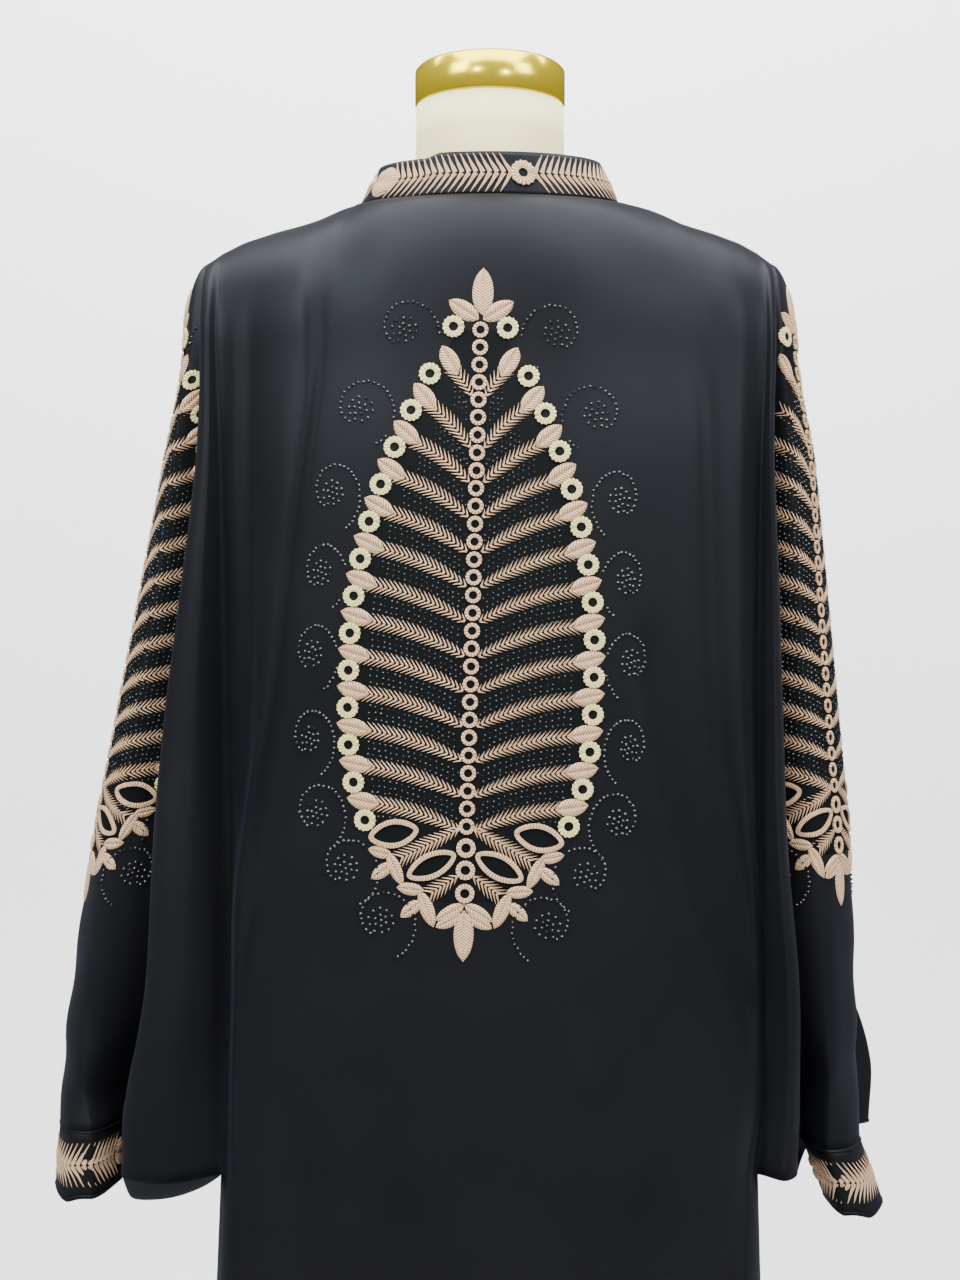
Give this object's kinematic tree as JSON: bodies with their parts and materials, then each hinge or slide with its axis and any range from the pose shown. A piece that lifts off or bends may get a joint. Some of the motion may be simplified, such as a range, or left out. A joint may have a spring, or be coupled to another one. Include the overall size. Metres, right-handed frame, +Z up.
{
  "type": "abaya cloak on a dress form",
  "caption": "Long open black abaya cloak with dolman sleeves and embroidered leaf motifs, worn by a limbless dress form on a pole and base.",
  "frame": {"origin": "middle of the base's flat underside", "axes": "+Z up along the pole, -Y out of the garment's front, +X towards the wearer's left"},
  "size_m": [0.6561, 0.35, 1.552],
  "materials": {
    "abaya_cloth": "smooth black crepe with a faint cool sheen",
    "embroidery": "rose-beige and cream satin stitch with black stones",
    "form_linen": "cream linen cover stretched over the form",
    "cap_gold": "polished gold-coloured metal",
    "stand_steel": "dark satin metal"
  },
  "bodies": {
    "root": {"back_panel": "abaya_cloth", "front_panel_left": "abaya_cloth", "front_panel_right": "abaya_cloth", "sleeve_left": "abaya_cloth", "sleeve_right": "abaya_cloth", "cuff_left": "abaya_cloth", "cuff_right": "abaya_cloth", "collar_band": "abaya_cloth", "back_leaf": "embroidery", "sleeve_leaf_left": "embroidery", "sleeve_leaf_right": "embroidery", "form_body": "form_linen", "neck_cap": "cap_gold", "pole": "stand_steel", "base": "stand_steel"}
  },
  "joints": []
}
